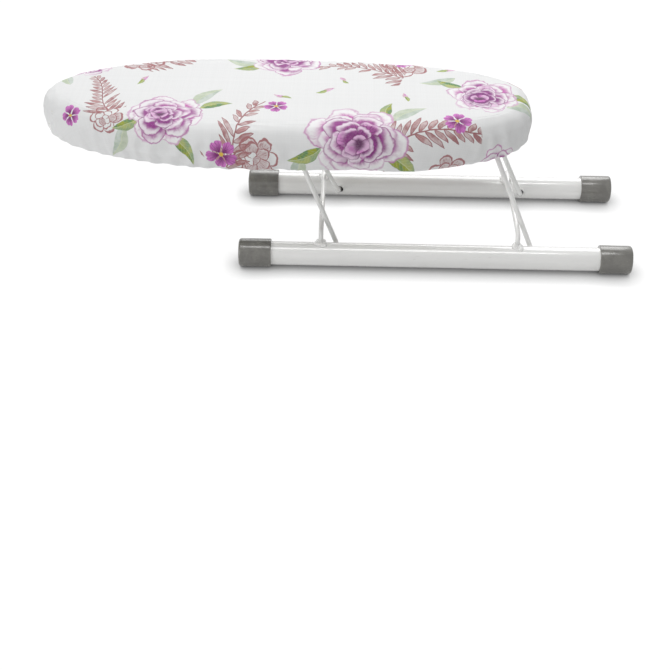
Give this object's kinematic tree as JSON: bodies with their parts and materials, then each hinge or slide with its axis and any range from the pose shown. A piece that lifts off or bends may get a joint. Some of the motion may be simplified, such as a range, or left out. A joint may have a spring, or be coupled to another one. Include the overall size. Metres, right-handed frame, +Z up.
{
  "type": "tabletop ironing board",
  "caption": "Folding table-top ironing board: a padded board in a fitted floral cotton cover, on bent wire legs that swing down over capped foot tubes.",
  "frame": {"origin": "on the table, under the middle of the open part's bounding box", "axes": "+X from the board's nose to its heel, along the foot tubes; +Y to the rear; +Z up"},
  "size_m": [0.599, 0.179, 0.1594],
  "materials": {
    "white_paint": "gloss white enamel",
    "grey_cap": "satin moulded grey",
    "printed_cotton": "plain-weave cotton with a floral print",
    "pad_foam": "open-cell foam",
    "elastic_cord": "woven elastic",
    "zinc_steel": "zinc plated"
  },
  "bodies": {
    "base": {"front_foot_tube": "white_paint", "rear_foot_tube": "white_paint", "cap_front_left": "grey_cap", "cap_front_right": "grey_cap", "cap_rear_left": "grey_cap", "cap_rear_right": "grey_cap", "left_stop_bar": "white_paint", "right_stop_bar": "white_paint"},
    "left_leg": {"left_leg_wire": "white_paint"},
    "right_leg": {"right_leg_wire": "white_paint"},
    "board": {"rim_band": "white_paint", "mesh_panel": "white_paint", "left_cross_strap": "white_paint", "right_cross_strap": "white_paint", "left_front_clip": "white_paint", "left_rear_clip": "white_paint", "right_front_clip": "white_paint", "right_rear_clip": "white_paint", "left_front_rivet_inner": "zinc_steel", "left_front_rivet_outer": "zinc_steel", "left_rear_rivet_inner": "zinc_steel", "left_rear_rivet_outer": "zinc_steel", "right_front_rivet_inner": "zinc_steel", "right_front_rivet_outer": "zinc_steel", "right_rear_rivet_inner": "zinc_steel", "right_rear_rivet_outer": "zinc_steel", "foam_pad": "pad_foam", "cover": "printed_cotton", "hem_elastic": "elastic_cord"}
  },
  "joints": [
    {"name": "leg_fold", "type": "hinge", "parent": "base", "child": "left_leg", "pos_m": [-0.00051, 0, 0.0138], "axis": [0, 1, 0], "range_deg": [0, 92]},
    {"name": "board_level", "type": "hinge", "parent": "left_leg", "child": "board", "pos_m": [-0.05549, 0, 0.13874], "axis": [0, 1, 0], "range_deg": [-92, 0]},
    {"name": "right_leg_fold", "type": "hinge", "parent": "base", "child": "right_leg", "pos_m": [0.19949, 0, 0.0138], "axis": [0, 1, 0], "range_deg": [0, 92]}
  ],
  "couplings": [
    {"joint": "board_level", "follows": "leg_fold", "ratio": -1},
    {"joint": "right_leg_fold", "follows": "leg_fold", "ratio": 1}
  ]
}
